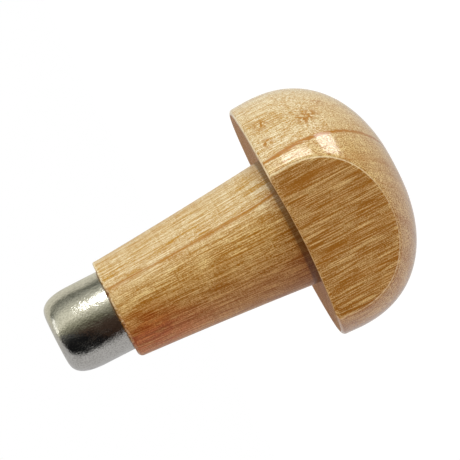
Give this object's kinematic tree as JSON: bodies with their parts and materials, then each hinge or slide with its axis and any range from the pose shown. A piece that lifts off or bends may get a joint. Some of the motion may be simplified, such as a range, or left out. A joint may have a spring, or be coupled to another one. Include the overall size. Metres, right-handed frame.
{
  "type": "lino cutter handle",
  "caption": "Half-round turned wooden palm handle of a lino cutter, with a flat side, a tapered shank and a plated metal ferrule bored for the blade's tang.",
  "frame": {"origin": "centre of the small flat on the cap's crown, which the handle stands on", "axes": "+Z along the tool's axis, from the crown towards the ferrule; the flat on the cap's side faces -Y; +X is to the right of a person who looks at that flat"},
  "size_m": [0.0402, 0.0352, 0.06],
  "materials": {
    "varnished_wood": "clear gloss varnish over close-grained light hardwood, duller on the sawn flat",
    "nickel_plate": "bright nickel plate on drawn steel, finely scuffed"
  },
  "bodies": {
    "root": {"handle": "varnished_wood", "ferrule": "nickel_plate"}
  },
  "joints": []
}
